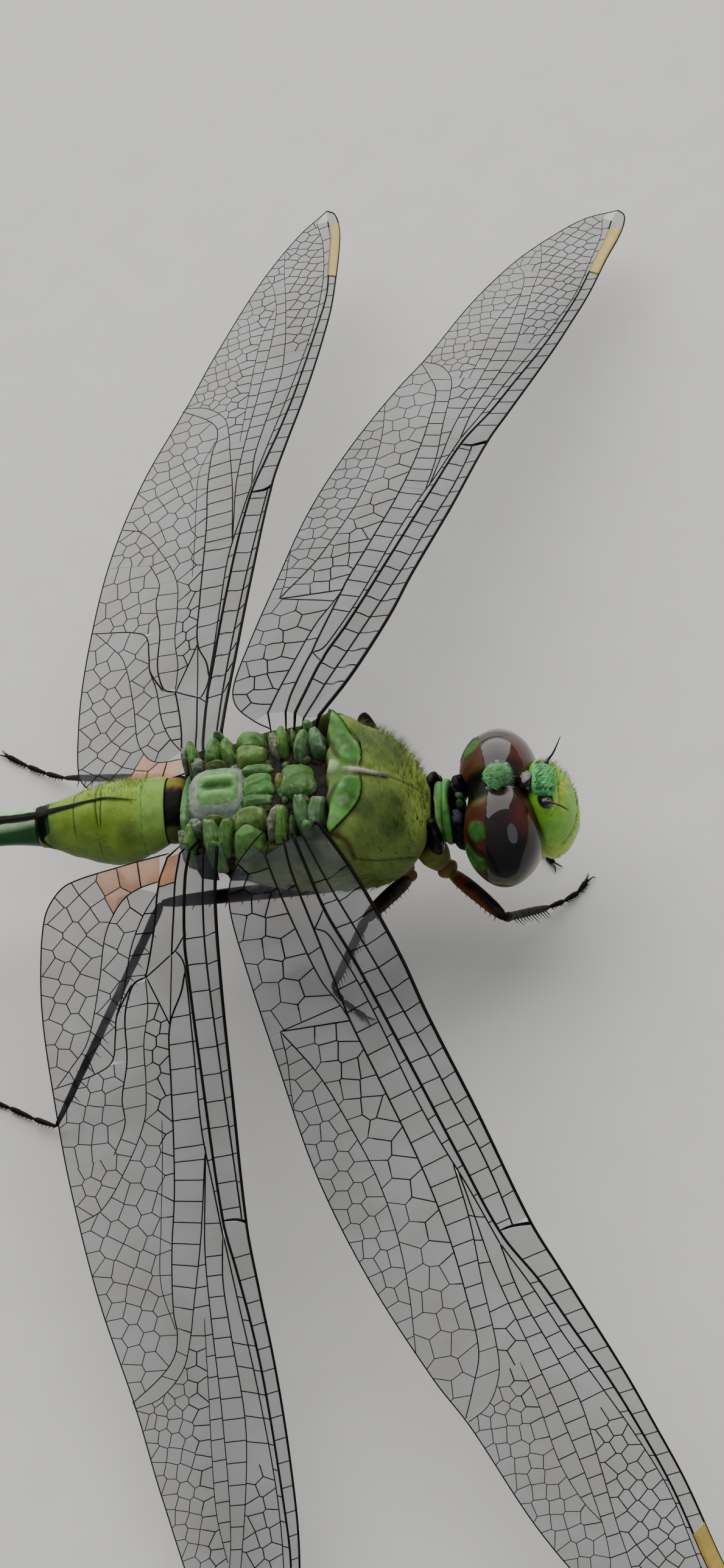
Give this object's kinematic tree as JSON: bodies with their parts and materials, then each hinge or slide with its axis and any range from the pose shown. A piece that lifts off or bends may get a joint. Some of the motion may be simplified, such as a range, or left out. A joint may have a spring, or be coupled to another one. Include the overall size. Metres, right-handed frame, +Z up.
{
  "type": "dragonfly, green pondhawk",
  "caption": "Life-size green dragonfly standing with its clear, black-veined wings spread and drooped.",
  "frame": {"origin": "centre of the bounding box at the floor under the feet", "axes": "+X towards the head, +Y to the animal's left across the wings, +Z up"},
  "size_m": [0.044, 0.065, 0.0098],
  "materials": {
    "green_cuticle": "waxy green cuticle, softly glossy, with short hairs",
    "lime_cuticle": "waxy lime cuticle with orange tints",
    "tail_cuticle": "green and black banded cuticle",
    "black_cuticle": "glossy black and dark brown cuticle with spines",
    "eye_cornea": "polished brown-grey facets",
    "wing_membrane": "clear crinkled membrane",
    "wing_vein": "black veins"
  },
  "bodies": {
    "root": {"abdomen_s1": "green_cuticle", "abdomen_s10": "tail_cuticle", "abdomen_s2": "green_cuticle", "abdomen_s3": "green_cuticle", "abdomen_s4": "tail_cuticle", "abdomen_s5": "tail_cuticle", "abdomen_s6": "tail_cuticle", "abdomen_s7": "tail_cuticle", "abdomen_s8": "tail_cuticle", "abdomen_s9": "tail_cuticle", "antenna_left": "black_cuticle", "antenna_right": "black_cuticle", "cercus_left": "lime_cuticle", "cercus_right": "lime_cuticle", "coxa_fore_left": "green_cuticle", "coxa_fore_right": "green_cuticle", "coxa_hind_left": "green_cuticle", "coxa_hind_right": "green_cuticle", "coxa_mid_left": "green_cuticle", "coxa_mid_right": "green_cuticle", "eye_left": "eye_cornea", "eye_right": "eye_cornea", "face": "lime_cuticle", "femur_fore_left": "black_cuticle", "femur_fore_right": "black_cuticle", "femur_hind_left": "black_cuticle", "femur_hind_right": "black_cuticle", "femur_mid_left": "black_cuticle", "femur_mid_right": "black_cuticle", "forewing_left": "wing_membrane", "forewing_right": "wing_membrane", "head": "green_cuticle", "hindwing_left": "wing_membrane", "hindwing_right": "wing_membrane", "mouthparts": "lime_cuticle", "prothorax": "green_cuticle", "tarsus_fore_left": "black_cuticle", "tarsus_fore_right": "black_cuticle", "tarsus_hind_left": "black_cuticle", "tarsus_hind_right": "black_cuticle", "tarsus_mid_left": "black_cuticle", "tarsus_mid_right": "black_cuticle", "thorax": "green_cuticle", "tibia_fore_left": "black_cuticle", "tibia_fore_right": "black_cuticle", "tibia_hind_left": "black_cuticle", "tibia_hind_right": "black_cuticle", "tibia_mid_left": "black_cuticle", "tibia_mid_right": "black_cuticle"}
  },
  "joints": []
}
